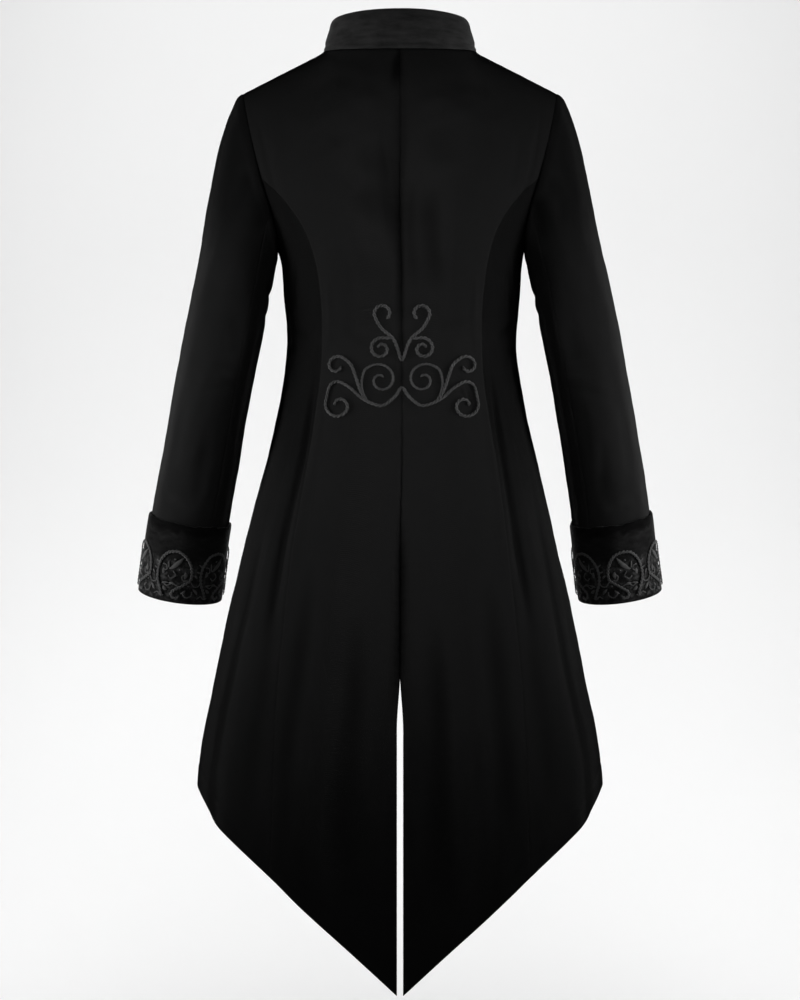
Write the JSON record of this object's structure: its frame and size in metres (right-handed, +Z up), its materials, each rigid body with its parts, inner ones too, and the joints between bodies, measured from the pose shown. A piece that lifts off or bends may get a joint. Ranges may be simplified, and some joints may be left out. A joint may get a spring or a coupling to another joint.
{
  "type": "tailcoat",
  "caption": "Long fitted coat with a standing velvet collar, turned-back cuffs, a buttoned cut-away front and two pointed tails, worn over the arms and body.",
  "frame": {"origin": "midway between the neck ends of the two shoulder seams, where the coat hangs on its wearer", "axes": "+Z up, +Y the way the wearer faces, +X the wearer's right"},
  "size_m": [0.6614, 0.3024, 1.1975],
  "materials": {
    "coat_cloth": "black twill with a soft sheen",
    "collar_velvet": "charcoal black velvet",
    "cuff_velvet": "deep black velvet",
    "back_braid": "dull grey corded braid",
    "cuff_braid": "grey corded braid",
    "button": "black, softly polished"
  },
  "bodies": {
    "root": {"back_left": "coat_cloth", "back_right": "coat_cloth", "button_1": "button", "button_2": "button", "button_3": "button", "button_4": "button", "button_5": "button", "collar": "collar_velvet", "cuff_left": "cuff_velvet", "cuff_right": "cuff_velvet", "cuff_scroll_left_1": "cuff_braid", "cuff_scroll_left_2": "cuff_braid", "cuff_scroll_left_3": "cuff_braid", "cuff_scroll_left_4": "cuff_braid", "cuff_scroll_left_5": "cuff_braid", "cuff_scroll_left_6": "cuff_braid", "cuff_scroll_right_1": "cuff_braid", "cuff_scroll_right_2": "cuff_braid", "cuff_scroll_right_3": "cuff_braid", "cuff_scroll_right_4": "cuff_braid", "cuff_scroll_right_5": "cuff_braid", "cuff_scroll_right_6": "cuff_braid", "front_left": "coat_cloth", "front_right": "coat_cloth", "scroll_bud_left": "back_braid", "scroll_bud_right": "back_braid", "scroll_crown_left": "back_braid", "scroll_crown_right": "back_braid", "scroll_heart_left": "back_braid", "scroll_heart_right": "back_braid", "scroll_sweep_left": "back_braid", "scroll_sweep_right": "back_braid", "scroll_wing_left": "back_braid", "scroll_wing_right": "back_braid", "side_left": "coat_cloth", "side_right": "coat_cloth", "top_sleeve_left": "coat_cloth", "top_sleeve_right": "coat_cloth", "under_sleeve_left": "coat_cloth", "under_sleeve_right": "coat_cloth"}
  },
  "joints": []
}
